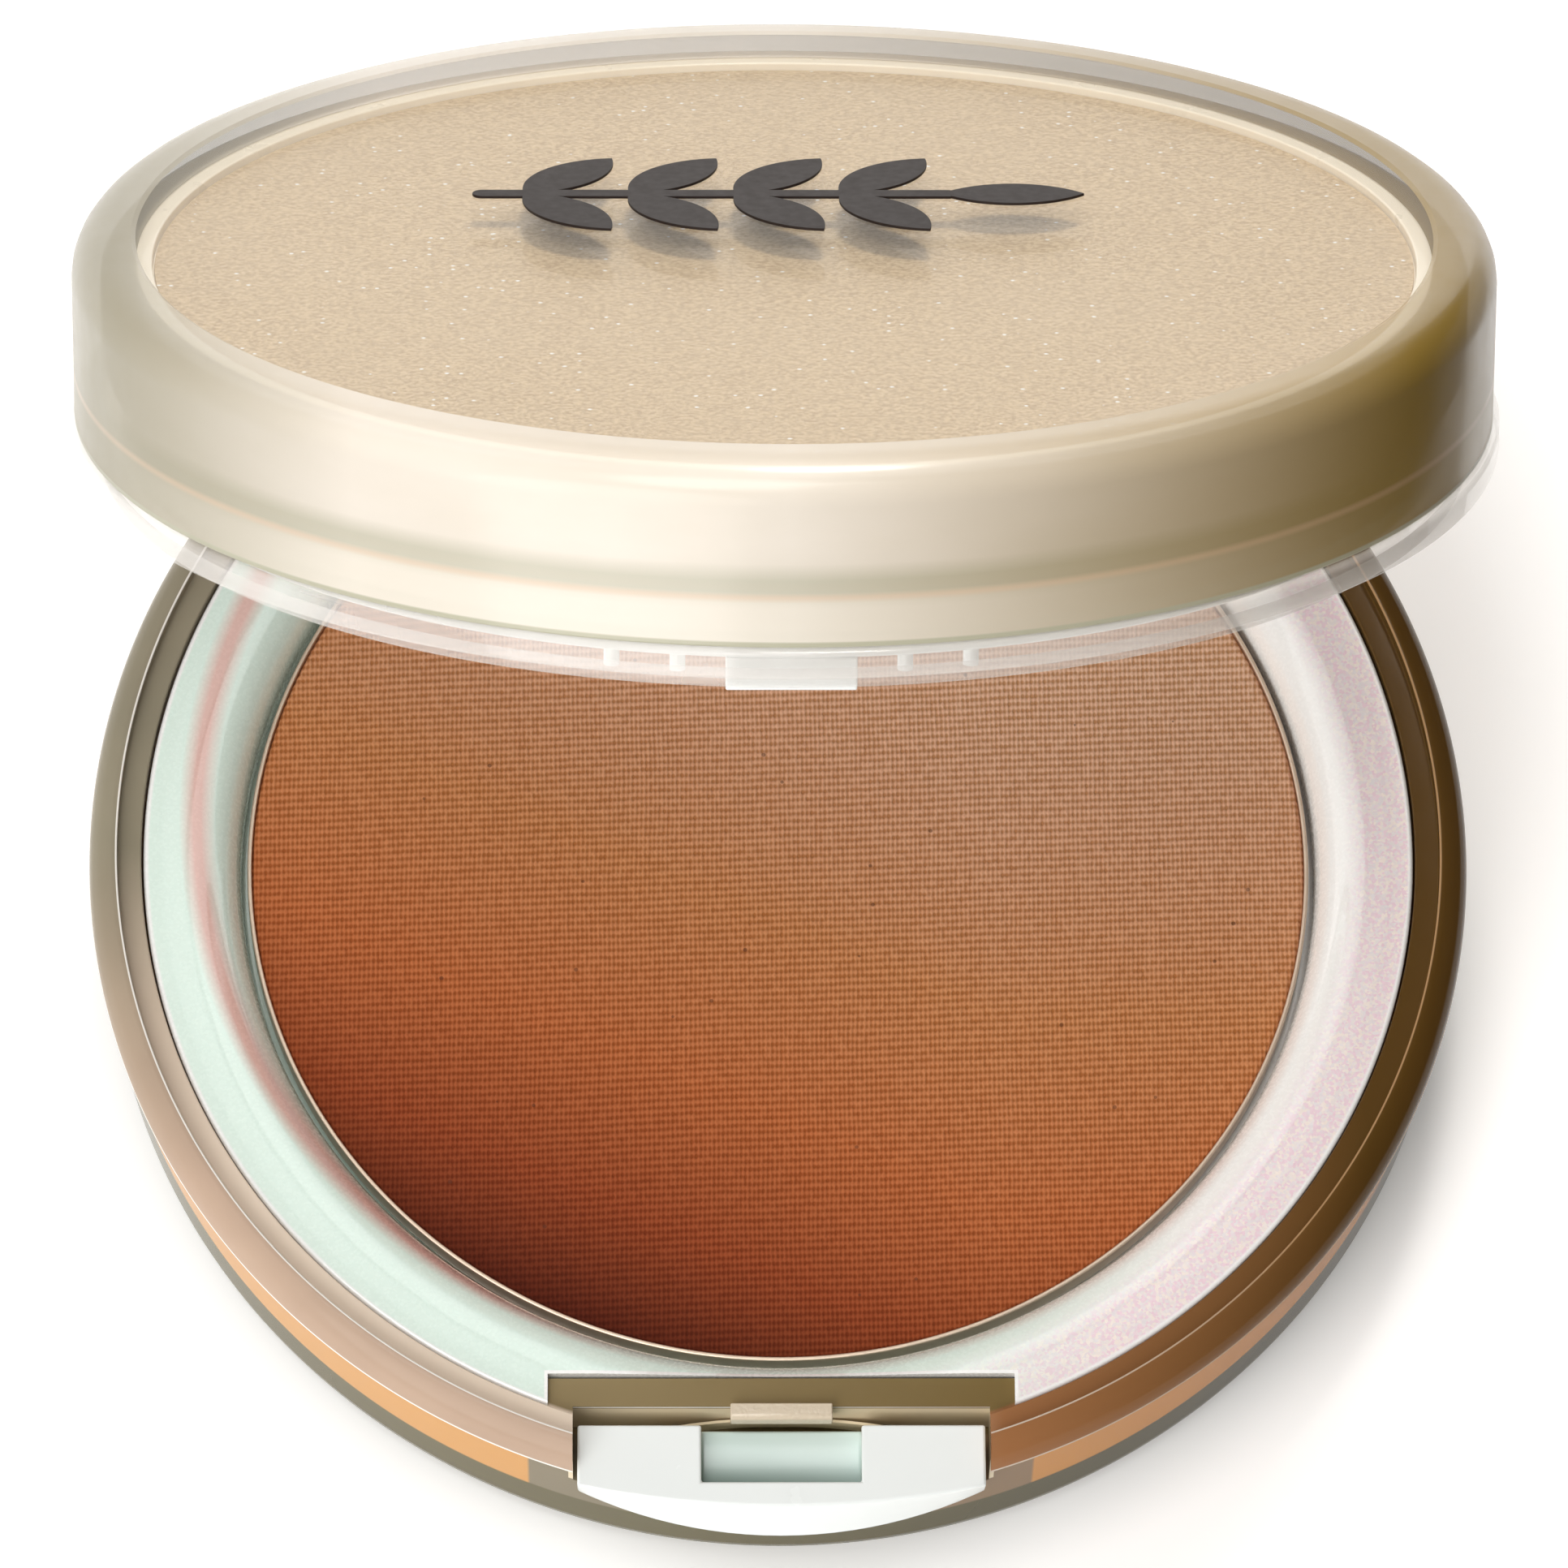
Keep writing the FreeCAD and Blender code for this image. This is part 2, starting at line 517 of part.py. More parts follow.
def make_lid():
    shell = turned("lid_shell", (
        ("lid_radius - lid_wall", "shell_bottom"),
        ("lid_radius", "shell_bottom"),
        ("lid_radius", "lid_height - lid_round", "lid_round"),
        ("lid_radius - lid_round", "lid_height"),
        ("window_radius + window_slope", "lid_height"),
        ("window_radius", "lid_height - window_step"),
        ("0", "lid_height - window_step"),
        ("0", "lid_height - lid_top_wall"),
        ("lid_radius - lid_wall - lid_inner_round", "lid_height - lid_top_wall", "-lid_inner_round"),
        ("lid_radius - lid_wall", "lid_height - lid_top_wall - lid_inner_round"),
    ))
    liner = turned("lid_liner", (
        ("liner_radius - liner_wall", "liner_bottom"),
        ("liner_radius", "liner_bottom"),
        ("liner_radius", "liner_top - liner_round", "liner_round"),
        ("liner_radius - liner_round", "liner_top"),
        ("disc_radius + disc_play", "liner_top"),
        ("disc_radius + disc_play", "disc_height"),
        ("0", "disc_height"),
        ("0", "liner_plate"),
        ("liner_radius - liner_wall", "liner_plate"),
    ))
    frame = turned("lid_frame", (
        ("frame_inside", "-spigot_depth"),
        ("spigot_radius", "-spigot_depth"),
        ("spigot_radius", "frame_low"),
        ("frame_radius", "frame_low"),
        ("frame_radius", "frame_high"),
        ("frame_neck", "frame_high"),
        ("frame_neck", "frame_top"),
        ("frame_inside", "frame_top"),
    ))
    for side in ("-base_knuckle_end - 2 * knuckle_play", "base_knuckle_start - knuckle_play"):
        pocket(frame, circle(frame, "YZ_Plane", "hinge_back", "0", "knuckle_room", side),
               "base_knuckle_end - base_knuckle_start + 3 * knuckle_play")
    arm = outline(frame, "YZ_Plane", box_outline("frame_neck", "hinge_back", "frame_low", "frame_high"),
                  "-lid_knuckle_half")
    pad(frame, arm, "2 * lid_knuckle_half")
    pad(frame, circle(frame, "YZ_Plane", "hinge_back", "0", "knuckle_radius", "-lid_knuckle_half"),
        "2 * lid_knuckle_half")
    pocket(frame, circle(frame, "YZ_Plane", "hinge_back", "0", "pin_radius + pin_play",
                         "-lid_knuckle_half - beyond"), "2 * (lid_knuckle_half + beyond)")
    bezel = turned("mirror_frame", (
        ("0", "bezel_plate"),
        ("mirror_radius + mirror_play", "bezel_plate"),
        ("mirror_radius + mirror_play", "bezel_low"),
        ("bezel_radius", "bezel_low"),
        ("bezel_radius", "bezel_top"),
        ("bezel_radius - bezel_wall", "bezel_top"),
        ("bezel_radius - bezel_wall", "bezel_back"),
        ("0", "bezel_back"),
    ))
    for x in PIPS:
        y = -math.sqrt(PIP_DISTANCE ** 2 - x ** 2)
        pad(bezel, circle(bezel, "XY_Plane", x, y, PIP_RADIUS, -PIP_DEPTH), "bezel_low + %s" % PIP_DEPTH)
    tab = new_body("latch_tab")
    pad(tab, outline(tab, "YZ_Plane", (
        ("-tab_back", "bezel_low"),
        ("-tab_back", "-tab_depth"),
        ("-tab_front + tab_slope", "-tab_depth"),
        ("-tab_front", "-tab_depth + tab_slope_rise"),
        ("-tab_front", "bezel_low"),
    ), "-tab_half"), "2 * tab_half")
    lid = [shell, liner, frame, bezel, tab]
    lid.append(disc("decor_disc", "disc_radius", "disc_height", "disc_thickness"))
    lid.append(disc("mirror_tape", "mirror_radius - tape_margin", "bezel_plate - tape_thickness",
                    "tape_thickness"))
    lid.append(disc("mirror", "mirror_radius", "bezel_plate - tape_thickness - mirror_thickness",
                    "mirror_thickness"))
    lid.append(make_emblem())
    doc.recompute()
    for piece in lid:
        open_with_lid(piece)


def make_emblem():
    """A sprig: a straight stem with leaves in pairs and one leaf at its tip."""
    body = new_body("emblem")
    height = "lid_height - window_step"
    thickness = "window_step"
    stem_tip = "sprig_half - leaf_length + leaf_join"
    stem = outline(body, "XY_Plane", (
        ("-sprig_half", "sprig_offset + stem_half", "stem_half + 0.001"),
        ("-sprig_half", "sprig_offset - stem_half"),
        (stem_tip, "sprig_offset - stem_half"),
        (stem_tip, "sprig_offset + stem_half"),
    ), height)
    pad(body, stem, thickness)
    leaves = [("leaf_angle * %d" % side, "-sprig_half + leaf_first + leaf_pitch * %d" % pair)
              for pair in range(LEAF_PAIRS) for side in (1, -1)]
    leaves.append(("0", "sprig_half - leaf_length"))
    for angle, root in leaves:
        leaf = outline(body, "XY_Plane", (
            (root, "sprig_offset", "leaf_round"),
            ("%s + leaf_length * cos(%s)" % (root, angle),
             "sprig_offset + leaf_length * sin(%s)" % angle, "leaf_round"),
        ), height)
        pad(body, leaf, thickness)
    return body


make_base_shell()
make_catch()
make_trays()
make_powder()
disc("bottom_label", "label_radius", "0", "label_thickness")
make_hinge_pin()
make_button()
make_button_spring()
make_lid()
doc.recompute()

for thing in doc.Objects:
    if "Invalid" in thing.State or "Error" in thing.State:
        raise ValueError("%s failed: %s" % (thing.Label, thing.State))
os.makedirs("parts", exist_ok=True)
for piece in pieces:
    shape = piece.Shape
    if shape.isNull() or not shape.isValid() or not shape.Solids:
        raise ValueError("%s is not a valid solid" % piece.Label)
    shape.exportStep("parts/%s.step" % piece.Label)
    print("%-14s %d solid(s) %9.2f mm3" % (piece.Label, len(shape.Solids), shape.Volume))
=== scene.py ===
import json
import math

import bmesh
import bpy
from mathutils import Matrix, Vector


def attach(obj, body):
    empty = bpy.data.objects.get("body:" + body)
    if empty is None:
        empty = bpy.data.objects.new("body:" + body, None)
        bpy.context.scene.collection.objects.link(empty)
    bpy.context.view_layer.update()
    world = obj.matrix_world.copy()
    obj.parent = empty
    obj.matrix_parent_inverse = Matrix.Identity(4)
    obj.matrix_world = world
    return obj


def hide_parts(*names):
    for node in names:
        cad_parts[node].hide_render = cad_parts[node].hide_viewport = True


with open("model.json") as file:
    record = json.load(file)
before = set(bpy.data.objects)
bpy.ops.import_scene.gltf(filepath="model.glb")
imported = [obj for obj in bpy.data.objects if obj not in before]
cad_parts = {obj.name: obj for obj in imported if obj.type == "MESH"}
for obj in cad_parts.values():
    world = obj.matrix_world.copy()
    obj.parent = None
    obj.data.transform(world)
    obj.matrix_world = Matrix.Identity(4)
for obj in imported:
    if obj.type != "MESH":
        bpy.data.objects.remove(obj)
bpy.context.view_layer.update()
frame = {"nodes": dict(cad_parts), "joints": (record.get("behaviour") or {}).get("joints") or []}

MM = 0.001

# The lid's pieces are drawn shut, with the hinge pin at height 0. LID_TURN takes them to the open
# place that the frame has at rest, and LID_BACK undoes it.
HINGE = next(joint for joint in frame["joints"] if joint["name"] == "lid_hinge")
PIN = Vector(HINGE["pos_m"])
LID_OPEN = math.radians(-HINGE["range_deg"][0])
LID_TURN = (Matrix.Translation(PIN) @ Matrix.Rotation(-LID_OPEN, 4, "X") @ Matrix.Translation(-PIN)
            @ Matrix.Translation((0, 0, PIN.z)))
LID_BACK = LID_TURN.inverted()

# Sizes that several pieces or materials share, in millimetres. Heights on the base are above the
# floor, and heights on the lid are above the pin.
HINGE_Y = round(PIN.y / MM, 3)
HINGE_Z = round(PIN.z / MM, 3)
KNUCKLE_RADIUS = 2.2
KNUCKLE_ROOM = 2.5
LABEL_RADIUS = 24
LABEL_THICKNESS = 0.12
BASE_BORE = 35.1
TRAY_RADIUS = 35
TRAY_LEDGE = 5.8
PAN_FLOOR = 8.15
PAN_INSIDE = 29.1
LID_BORE = 36
WINDOW_RADIUS = 34.1
DISC_UNDERSIDE = 9.3
POCKET_HALF = 11.25
POCKET_BACK = -32.6
NOTCH_HALF = 12.6
NOTCH_BACK = -30.85


# ---------------------------------------------------------------- materials

class Nodes:
    """A material's node tree with a Principled shader, built by short calls."""

    def __init__(self, name, color, roughness, **sockets):
        self.material = bpy.data.materials.new(name)
        self.material.use_nodes = True
        self.tree = self.material.node_tree
        self.shader = self.tree.nodes["Principled BSDF"]
        self.set("Base Color", (*color, 1.0))
        self.set("Roughness", roughness)
        for socket, value in sockets.items():
            self.set(socket.replace("_", " "), value)
        self.coordinates = None

    def set(self, socket, value):
        self.shader.inputs[socket].default_value = value

    def add(self, kind, **settings):
        node = self.tree.nodes.new(kind)
        for name, value in settings.items():
            if name in node.inputs:
                node.inputs[name].default_value = value
            else:
                setattr(node, name, value)
        return node

    def link(self, source, target):
        self.tree.links.new(source, target)

    def place(self):
        if self.coordinates is None:
            self.coordinates = self.add("ShaderNodeTexCoord").outputs["Object"]
        return self.coordinates

    def noise(self, scale, detail=3.0, roughness=0.5, stretch=None):
        node = self.add("ShaderNodeTexNoise", Scale=scale, Detail=detail, Roughness=roughness)
        vector = self.place()
        if stretch is not None:
            mapping = self.add("ShaderNodeMapping")
            mapping.inputs["Scale"].default_value = stretch
            self.link(vector, mapping.inputs["Vector"])
            vector = mapping.outputs["Vector"]
        self.link(vector, node.inputs["Vector"])
        return node.outputs["Fac"]

    def cells(self, scale):
        node = self.add("ShaderNodeTexVoronoi", Scale=scale)
        self.link(self.place(), node.inputs["Vector"])
        return node

    def math(self, operation, first, second=None):
        node = self.add("ShaderNodeMath", operation=operation)
        for socket, value in zip(node.inputs, (first, second)):
            if value is None:
                continue
            if isinstance(value, (int, float)):
                socket.default_value = value
            else:
                self.link(value, socket)
        return node.outputs[0]

    def ramp(self, factor, *stops):
        """Maps a factor through colours given as (position, (r, g, b))."""
        node = self.add("ShaderNodeValToRGB")
        elements = node.color_ramp.elements
        while len(elements) < len(stops):
            elements.new(0.5)
        for element, (position, color) in zip(elements, stops):
            element.position = position
            element.color = (*color, 1.0)
        self.link(factor, node.inputs["Fac"])
        return node.outputs["Color"]

    def spread(self, factor, low, high, from_low=0.0, from_high=1.0):
        """Maps a factor from one range to another, clamped."""
        node = self.add("ShaderNodeMapRange")
        for name, value in (("From Min", from_low), ("From Max", from_high),
                            ("To Min", low), ("To Max", high)):
            node.inputs[name].default_value = value
        self.link(factor, node.inputs["Value"])
        return node.outputs["Result"]

    def mix(self, factor, first, second):
        """Mixes two colours. A mix node's sockets 0, 6 and 7 are its factor and its two colours."""
        node = self.add("ShaderNodeMix", data_type="RGBA")
        for index, value in ((0, factor), (6, first), (7, second)):
            socket = node.inputs[index]
            if isinstance(value, (int, float)):
                socket.default_value = value
            elif isinstance(value, tuple):
                socket.default_value = (*value, 1.0)
            else:
                self.link(value, socket)
        return node.outputs[2]

    def bump(self, height, strength, distance):
        node = self.add("ShaderNodeBump", Strength=strength, Distance=distance)
        self.link(height, node.inputs["Height"])
        previous = self.shader.inputs["Normal"]
        if previous.is_linked:
            self.link(previous.links[0].from_socket, node.inputs["Normal"])
        self.link(node.outputs["Normal"], previous)

    def axes(self):
        """The object's own X, Y and Z, and the distance from its axis."""
        split = self.add("ShaderNodeSeparateXYZ")
        self.link(self.place(), split.inputs[0])
        x, y, z = (split.outputs[axis] for axis in "XYZ")
        squares = self.plus(self.times(x, x), self.times(y, y))
        return x, y, z, self.math("SQRT", squares)

    def rise(self, value, start, end):
        """From 0 at one place to 1 at another, both in millimetres."""
        return self.spread(value, 0.0, 1.0, start * MM, end * MM)

    def fall(self, value, start, end):
        """From 1 at one place to 0 at another, both in millimetres."""
        return self.spread(value, 1.0, 0.0, start * MM, end * MM)

    def band(self, value, middle, half, soft):
        """One within half a band's width of its middle, falling to 0 over a soft edge."""
        distance = self.math("ABSOLUTE", self.minus(value, middle * MM))
        return self.fall(distance, half, half + soft)

    def below(self, value, limit):
        return self.math("LESS_THAN", value, limit * MM)

    def above(self, value, limit):
        return self.math("GREATER_THAN", value, limit * MM)

    def within(self, value, limit):
        """One where a value is nearer to 0 than a limit."""
        return self.below(self.math("ABSOLUTE", value), limit)

    def plus(self, first, second):
        return self.math("ADD", first, second)

    def minus(self, first, second):
        return self.math("SUBTRACT", first, second)

    def times(self, first, second):
        return self.math("MULTIPLY", first, second)

    def tones(self, factor, dark, light):
        """A soft drift from one colour to another."""
        return self.ramp(factor, (0.35, dark), (0.65, light))

    def color(self, source):
        self.link(source, self.shader.inputs["Base Color"])

    def rough(self, source):
        self.link(source, self.shader.inputs["Roughness"])


def from_shut_lid(nodes):
    """Measure a material's coordinates on the lid as if it were shut, so that Z runs up its wall."""
    mapping = nodes.add("ShaderNodeMapping")
    mapping.inputs["Location"].default_value = LID_BACK.to_translation()
    mapping.inputs["Rotation"].default_value = LID_BACK.to_euler()
    nodes.link(nodes.place(), mapping.inputs["Vector"])
    nodes.coordinates = mapping.outputs["Vector"]


def moulded(name, color, roughness, variation=0.03, **sockets):
    """Moulded plastic: very fine texture, faint flow marks and handling marks in its gloss."""
    nodes = Nodes(name, color, roughness, **sockets)
    flow = nodes.noise(90, detail=4, stretch=(1, 1, 3))
    darker = tuple(channel * (1 - variation) for channel in color)
    nodes.color(nodes.tones(flow, darker, color))
    nodes.rough(nodes.spread(nodes.noise(400, detail=5), roughness * 0.8, roughness * 1.3))
    nodes.bump(nodes.noise(2600, detail=2), 0.08, 0.02 * MM)
    return nodes


def smoky_plastic():
    """Smoky translucent plastic. The amber tray shows through the wall as an orange band, and the thick foot
    and the latch block look olive. The flange is darker towards the back. Painted shade darkens the plastic
    towards the right, painted light brightens the inner rim and the pocket's walls, and the lip's crest and
    the flange's lower edge carry painted highlights."""
    nodes = Nodes("smoky plastic", (0.6, 0.45, 0.28), 0.12, Alpha=0.95, Coat_Weight=0.06,
                  Coat_Roughness=0.03, Specular_IOR_Level=0.08)
    x, y, z, radius = nodes.axes()
    # Painted shade: colours mixed by this factor darken towards the right, away from the light.
    side = nodes.rise(x, -6, 28)
    # The flange's top is darker towards the back.
    front = nodes.rise(y, 0, -20)
    flow = nodes.noise(90, detail=4)
    left = nodes.mix(front, nodes.tones(flow, (0.27, 0.24, 0.17), (0.32, 0.28, 0.20)),
                     nodes.tones(flow, (0.50, 0.36, 0.27), (0.55, 0.40, 0.30)))
    # Painted light: the inner rim at the front, which lies in the shade of the lip and the deck, is
    # lightened.
    painted_light_inner_rim = nodes.times(nodes.fall(radius, 36.35, 36.40), front)
    left = nodes.mix(painted_light_inner_rim, left, (0.86, 0.72, 0.58))
    # Painted shade: the flange's colour darkens towards the right, to near black at its right end.
    right = nodes.mix(front, (0.22, 0.18, 0.11), (0.34, 0.15, 0.06))
    flange_light_and_shade = nodes.mix(nodes.rise(x, -8, 12), left, right)
    flange = nodes.mix(nodes.rise(x, 12, 32), flange_light_and_shade, (0.10, 0.05, 0.01))
    # Painted shade: the amber band and the olive foot darken towards the right.
    amber = nodes.mix(side, (0.68, 0.34, 0.10), (0.50, 0.18, 0.01))
    olive = nodes.mix(side, (0.13, 0.11, 0.05), (0.045, 0.034, 0.004))
    past_latch = nodes.rise(nodes.math("ABSOLUTE", x), 13.60, 13.75)
    past_latch = nodes.math("MAXIMUM", past_latch, nodes.above(y, 0))
    amber = nodes.mix(past_latch, nodes.mix(side, (0.24, 0.20, 0.13), (0.26, 0.12, 0.04)), amber)
    wall = nodes.mix(nodes.rise(z, 5.0, 5.2), olive, amber)
    body = nodes.mix(nodes.rise(z, 11.00, 11.06), wall, flange)
    # Painted shade: the latch block darkens towards the right.
    block = nodes.mix(nodes.rise(x, -14, 14), (0.30, 0.23, 0.12), (0.18, 0.12, 0.04))
    body = nodes.mix(nodes.rise(radius, 34.7, 34.9), block, body)
    # Painted light: the walls of the button's pocket, which lie in shade, are lightened.
    painted_light_pocket = nodes.times(nodes.within(x, POCKET_HALF + 0.25), nodes.below(y, POCKET_BACK + 0.4))
    painted_light_pocket = nodes.times(painted_light_pocket, nodes.band(z, 9.5, 1.4, 0.1))
    body = nodes.mix(painted_light_pocket, body, (0.80, 0.68, 0.48))
    # Painted highlights: a thin line on the lip's crest and one along the flange's lower edge, dimmer towards
    # the right.
    painted_lit_crest = nodes.times(nodes.rise(z, 12.68, 12.74), nodes.band(radius, 36.43, 0.06, 0.03))
    edge = nodes.math("MAXIMUM", nodes.band(z, 11.13, 0.06, 0.04), painted_lit_crest)
    painted_highlight = nodes.mix(side, (0.93, 0.90, 0.84), (0.42, 0.25, 0.12))
    nodes.color(nodes.mix(edge, body, painted_highlight))
    nodes.rough(nodes.spread(nodes.noise(400, detail=5), 0.08, 0.18))
    return nodes.material


def clear_plastic():
    nodes = Nodes("clear plastic", (0.90, 0.86, 0.82), 0.08, Alpha=0.30, Coat_Weight=1.0,
                  Coat_Roughness=0.02)
    nodes.color(nodes.tones(nodes.noise(90, detail=4), (0.86, 0.82, 0.78), (0.92, 0.89, 0.86)))
    nodes.rough(nodes.spread(nodes.noise(400, detail=5), 0.05, 0.14))
    return nodes.material


def catch_plastic():
    """Clear plastic with a grained top."""
    nodes = Nodes("catch plastic", (0.80, 0.68, 0.52), 0.25, Alpha=0.8, Coat_Weight=0.5)
    nodes.rough(nodes.spread(nodes.noise(3000), 0.2, 0.5))
    nodes.bump(nodes.noise(4500, detail=1), 0.5, 0.08 * MM)
    return nodes.material


def frosted_plastic():
    """Milky translucent plastic under a glossy skin, with painted shade that makes it grey-green on the left
    and golden on the right.
    """
    nodes = Nodes("frosted plastic", (0.78, 0.71, 0.56), 0.38, Alpha=0.74, Coat_Weight=0.5,
                  Coat_Roughness=0.16)
    from_shut_lid(nodes)
    x, _, depth, _ = nodes.axes()
    # Painted shade at both sides of the lid's wall: grey-green to the left, golden to the right.
    left = nodes.fall(x, -36, -22)
    right = nodes.rise(x, 0, 32)
    milky = nodes.tones(nodes.noise(70, detail=4, stretch=(1, 1, 3)), (0.82, 0.75, 0.65), (0.87, 0.80, 0.71))
    milky = nodes.mix(nodes.band(depth, 5.0, 0.3, 0.9), milky, (0.60, 0.57, 0.46))
    milky = nodes.mix(nodes.spread(depth, 0.55, 0.0, 4.1 * MM, 4.5 * MM), milky, (0.88, 0.82, 0.71))
    tone = nodes.mix(left, milky, (0.32, 0.28, 0.17))
    tone = nodes.mix(right, tone, (0.34, 0.22, 0.04))
    warm_band = nodes.times(nodes.band(depth, 4.4, 0.05, 0.22), 0.35)
    tone = nodes.mix(warm_band, tone, (0.86, 0.56, 0.36))
    nodes.color(nodes.mix(nodes.band(depth, 1.9, 0.1, 0.1), tone, (0.50, 0.49, 0.36)))
    nodes.rough(nodes.spread(nodes.noise(500, detail=5), 0.32, 0.46))
    return nodes.material


def window_plastic():
    nodes = Nodes("window plastic", (0.95, 0.92, 0.86), 0.03, Alpha=0.10, Coat_Weight=1.0,
                  Coat_Roughness=0.02)
    nodes.rough(nodes.spread(nodes.noise(300, detail=5), 0.02, 0.06))
    return nodes.material


def amber_plastic():
    return moulded("amber plastic", (0.93, 0.50, 0.20), 0.3, 0.06).material


def cream_plastic():
    return moulded("cream plastic", (0.95, 0.86, 0.69), 0.28, 0.03).material


def white_plastic():
    return moulded("white plastic", (0.88, 0.91, 0.90), 0.22, 0.02, Coat_Weight=0.3,
                   Coat_Roughness=0.1).material


def button_plastic():
    """White plastic; the window in the button has painted shade, cooler and darker towards its front and its
    left.
    """
    white = (0.88, 0.915, 0.905)
    nodes = moulded("button plastic", white, 0.24, 0.02, Coat_Weight=0.2, Coat_Roughness=0.1)
    x, y, z, _ = nodes.axes()
    inside = nodes.times(nodes.within(x, 4.34), nodes.below(z, 10.5))
    inside = nodes.times(inside, nodes.above(y, -36.9))
    # Painted shade: the window's floor darkens towards the front and the left, where its walls hold off the
    # light.
    across = nodes.minus(nodes.times(y, 1.6), nodes.times(x, -0.25))
    floor = nodes.ramp(nodes.rise(across, -60, -53), (0.0, (0.20, 0.28, 0.24)),
                       (0.6, (0.52, 0.64, 0.60)), (1.0, (0.66, 0.78, 0.73)))
    plain = nodes.tones(nodes.noise(90, detail=4), (0.86, 0.90, 0.89), white)
    nodes.color(nodes.mix(inside, plain, floor))
    return nodes.material


def pearl_plastic():
    """White plastic with interference pearl: mint on one side, pink with sparkle on the other. Painted
    light whitens the well's right wall and lightens its front wall, painted shade with a painted reflection
    of the powder reddens its left wall, and painted highlights run along the deck's outer edge and the notch.
    """
    nodes = Nodes("pearl plastic", (0.85, 0.9, 0.87), 0.25, Coat_Weight=1.0, Coat_Roughness=0.03,
                  Coat_IOR=1.7)
    x, y, _, radius = nodes.axes()
    drift = nodes.plus(x, nodes.times(nodes.noise(60, detail=3), 8 * MM))
    side = nodes.rise(drift, 8, 22)
    specks = nodes.add("ShaderNodeSeparateColor")
    nodes.link(nodes.cells(6500).outputs["Color"], specks.inputs[0])
    mint = nodes.ramp(specks.outputs[0], (0.2, (0.77, 0.93, 0.845)), (0.8, (0.79, 0.945, 0.86)))
    pink = nodes.ramp(specks.outputs[1], (0.2, (0.90, 0.68, 0.76)), (0.5, (0.86, 0.80, 0.82)),
                      (0.9, (0.97, 0.86, 0.80)))
    pearl_and_painted_light = nodes.mix(side, mint, pink)
    wall = nodes.fall(radius, 31.2, 32.5)
    # Painted light: the well's wall on the right, which faces the light, is whitened.
    pearl_and_painted_light = nodes.mix(nodes.times(wall, side), pearl_and_painted_light, (1.0, 1.0, 0.98))
    # Painted light: the well's front wall, which faces away from the light, is lightened to mint.
    painted_light_front_wall = nodes.times(wall, nodes.fall(y, -30, -22))
    pearl_and_painted_light = nodes.mix(painted_light_front_wall, pearl_and_painted_light, (0.84, 1.0, 0.92))
    # Painted shade with a painted reflection of the powder: a dull red band on the well's left wall.
    shifted = nodes.minus(radius, nodes.times(y, 0.07))
    warm_band = nodes.times(nodes.band(shifted, 32.0, 0.2, 0.8), nodes.spread(x, 0.8, 0.0, -16 * MM, -6 * MM))
    pearl_and_painted_light = nodes.mix(warm_band, pearl_and_painted_light, (0.76, 0.38, 0.33))
    # Painted highlights: a white line along the deck's outer edge and along the notch's edges.
    notch = nodes.times(nodes.within(x, NOTCH_HALF + 0.18), nodes.below(y, NOTCH_BACK + 0.18))
    edge = nodes.math("MAXIMUM", nodes.rise(radius, 34.66, 34.80), notch)
    nodes.color(nodes.mix(edge, pearl_and_painted_light, (1.0, 1.0, 0.99)))
    nodes.rough(nodes.spread(specks.outputs[2], 0.16, 0.34))
    nodes.bump(nodes.noise(1500, detail=2), 0.06, 0.02 * MM)
    return nodes.material


def champagne():
    """The disc under the window: champagne lacquer with fine mica and a few bright sparkles, mica flakes
    whose near white is a painted glint.
    """
    sparkle_rarity = 0.82
    sparkle_size = 0.17
    nodes = Nodes("champagne lacquer", (0.6, 0.46, 0.28), 0.5)
    mottle = nodes.noise(3600, detail=2, roughness=0.6)
    broad = nodes.noise(60, detail=3)
    fine = nodes.ramp(mottle, (0.36, (0.46, 0.310, 0.150)), (0.64, (0.68, 0.51, 0.29)))
    base = nodes.mix(nodes.spread(broad, 0.0, 0.25, 0.3, 0.7), fine, (0.62, 0.48, 0.31))
    cells = nodes.cells(1500)
    pick = nodes.add("ShaderNodeSeparateColor")
    nodes.link(cells.outputs["Color"], pick.inputs[0])
    # The sparkles are mica flakes, painted near white and made glossier: their brightness is a painted glint.
    chosen = nodes.math("GREATER_THAN", pick.outputs[0], sparkle_rarity)
    near = nodes.math("LESS_THAN", cells.outputs["Distance"], sparkle_size)
    sparkle = nodes.times(chosen, near)
    nodes.color(nodes.mix(sparkle, base, (1.0, 1.0, 0.97)))
    nodes.rough(nodes.spread(sparkle, 0.5, 0.15))
    nodes.bump(mottle, 0.04, 0.02 * MM)
    return nodes.material


